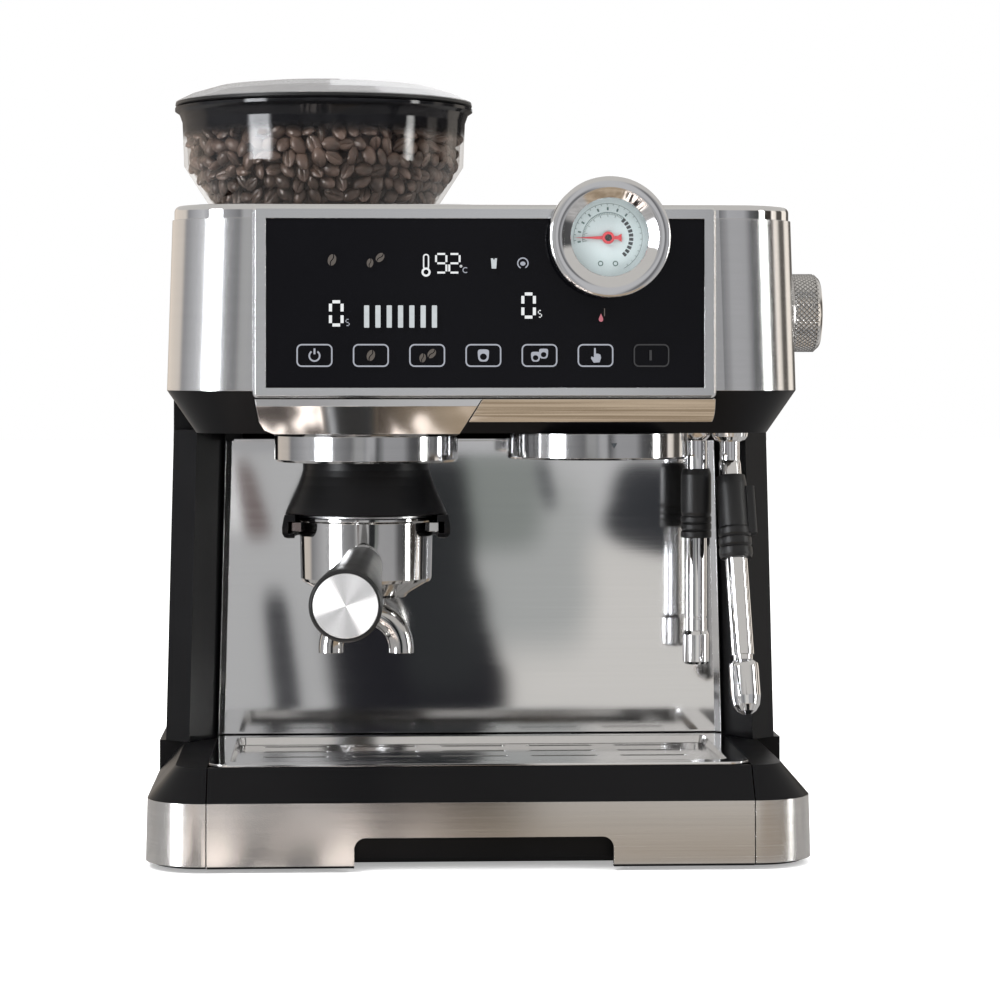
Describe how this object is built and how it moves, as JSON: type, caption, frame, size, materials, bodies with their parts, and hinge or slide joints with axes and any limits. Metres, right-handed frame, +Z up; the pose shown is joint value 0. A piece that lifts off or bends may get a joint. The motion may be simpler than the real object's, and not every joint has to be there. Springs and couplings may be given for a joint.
{
  "type": "espresso machine",
  "caption": "Countertop espresso machine with a bean grinder and hopper, a parked portafilter, a brew group, steam and hot-water wands, a round gauge and a slide-out drip tray.",
  "frame": {"origin": "centre of the base footprint on the worktop", "axes": "+X to the right seen from the front, +Y towards the back, +Z up"},
  "size_m": [0.338, 0.4307, 0.391],
  "materials": {
    "black_body": "satin black moulded plastic",
    "brushed_steel": "horizontally brushed stainless sheet",
    "polished_steel": "mirror-polished stainless",
    "collar_steel": "fine turned stainless",
    "chrome": "bright chrome",
    "frame_satin": "satin silver frame",
    "touch_glass": "glossy black touch panel",
    "handle_black": "soft black handle",
    "handle_cap": "spun aluminium",
    "grip_rubber": "black silicone",
    "inner_steel": "plain steel",
    "cast_metal": "cast aluminium",
    "motor": "grey machine finish",
    "brass": "plain brass",
    "board": "green circuit board",
    "hose": "white hose and chute",
    "gauge_case": "bright metal can",
    "dial": "white printed dial",
    "needle": "red pointer",
    "lens": "clear lens",
    "smoky_clear": "smoky clear plastic",
    "beans": "roasted beans",
    "tank_clear": "dark clear plastic",
    "tank_lid": "satin black plastic"
  },
  "bodies": {
    "chassis": {"base_shell": "black_body", "tower_shell": "black_body", "head_skirt": "black_body", "rear_wall": "black_body", "dosing_cradle": "black_body", "base_band": "brushed_steel", "head_wrap": "brushed_steel", "splash_panel": "polished_steel", "grinder_collar": "collar_steel", "group_collar": "collar_steel", "top_cover": "chrome", "grinder_apron": "chrome", "brew_apron": "chrome", "steam_flange": "chrome", "gauge_bezel": "chrome", "fascia_frame": "frame_satin", "touch_glass": "touch_glass", "rubber_feet": "grip_rubber", "cord_gland": "grip_rubber", "group_gasket": "grip_rubber", "shower_screen": "inner_steel", "case_screws": "inner_steel", "bottom_cover": "inner_steel", "group_head": "cast_metal", "burr_chamber": "cast_metal", "boiler": "cast_metal", "grinder_motor": "motor", "water_pump": "motor", "steam_valve": "brass", "control_board": "board", "display_board": "board", "water_hoses": "hose", "grinder_chute": "hose", "gauge_case": "gauge_case", "gauge_dial": "dial", "gauge_lens": "lens"},
    "drip_tray": {"drip_tray": "black_body", "tray_band": "brushed_steel"},
    "drip_grid": {"drip_grid": "polished_steel"},
    "portafilter": {"portafilter_body": "chrome", "filter_basket": "inner_steel", "portafilter_handle": "handle_black", "handle_cap": "handle_cap", "portafilter_spout": "chrome"},
    "steam_wand": {"steam_tube": "chrome", "steam_grip": "grip_rubber", "steam_nozzle": "chrome"},
    "water_wand": {"water_tube": "chrome", "water_grip": "grip_rubber", "water_nozzle": "chrome"},
    "steam_knob": {"steam_knob": "chrome"},
    "gauge_needle": {"gauge_needle": "needle"},
    "hopper": {"hopper_bowl": "smoky_clear", "bean_fill": "beans", "outer_burr": "inner_steel"},
    "hopper_lid": {"hopper_lid": "smoky_clear", "lid_seal": "grip_rubber"},
    "burr_drive": {"inner_burr": "inner_steel"},
    "water_tank": {"water_tank": "tank_clear"},
    "tank_lid": {"tank_lid": "tank_lid"}
  },
  "joints": [
    {"name": "tray_slide", "type": "slide", "parent": "chassis", "child": "drip_tray", "axis": [0, -1, 0], "range_m": [0, 0.15]},
    {"name": "grid_lift", "type": "slide", "parent": "drip_tray", "child": "drip_grid", "axis": [0, 0, 1], "range_m": [0, 0.016]},
    {"name": "portafilter_slide", "type": "slide", "parent": "chassis", "child": "portafilter", "axis": [0, -1, 0], "range_m": [0, 0.12]},
    {"name": "hopper_turn", "type": "hinge", "parent": "chassis", "child": "hopper", "pos_m": [-0.0766, 0.01, 0.321], "axis": [0, 0, 1], "range_deg": [-25, 25]},
    {"name": "hopper_lid_lift", "type": "slide", "parent": "hopper", "child": "hopper_lid", "axis": [0, 0, 1], "range_m": [0, 0.05]},
    {"name": "steam_knob_turn", "type": "hinge", "parent": "chassis", "child": "steam_knob", "pos_m": [0.16, -0.06, 0.269], "axis": [1, 0, 0], "range_deg": [0, 270]},
    {"name": "steam_wand_swing", "type": "hinge", "parent": "chassis", "child": "steam_wand", "pos_m": [0.129, -0.075, 0.209], "axis": [0, 0, 1], "range_deg": [0, 60]},
    {"name": "water_wand_swing", "type": "hinge", "parent": "chassis", "child": "water_wand", "pos_m": [0.1124, -0.07, 0.21], "axis": [-1, 0, 0], "range_deg": [0, 20]},
    {"name": "gauge_needle_turn", "type": "hinge", "parent": "chassis", "child": "gauge_needle", "pos_m": [0.0614, -0.145, 0.304], "axis": [0, 1, 0], "range_deg": [0, 240]},
    {"name": "burr_spin", "type": "hinge", "parent": "chassis", "child": "burr_drive", "pos_m": [-0.0766, 0.01, 0.27], "axis": [0, 0, 1], "continuous": true},
    {"name": "tank_lift", "type": "slide", "parent": "chassis", "child": "water_tank", "axis": [0, 0, 1], "range_m": [0, 0.12]},
    {"name": "tank_lid_open", "type": "hinge", "parent": "water_tank", "child": "tank_lid", "pos_m": [0, 0.1464, 0.3086], "axis": [-1, 0, 0], "range_deg": [0, 95]}
  ]
}
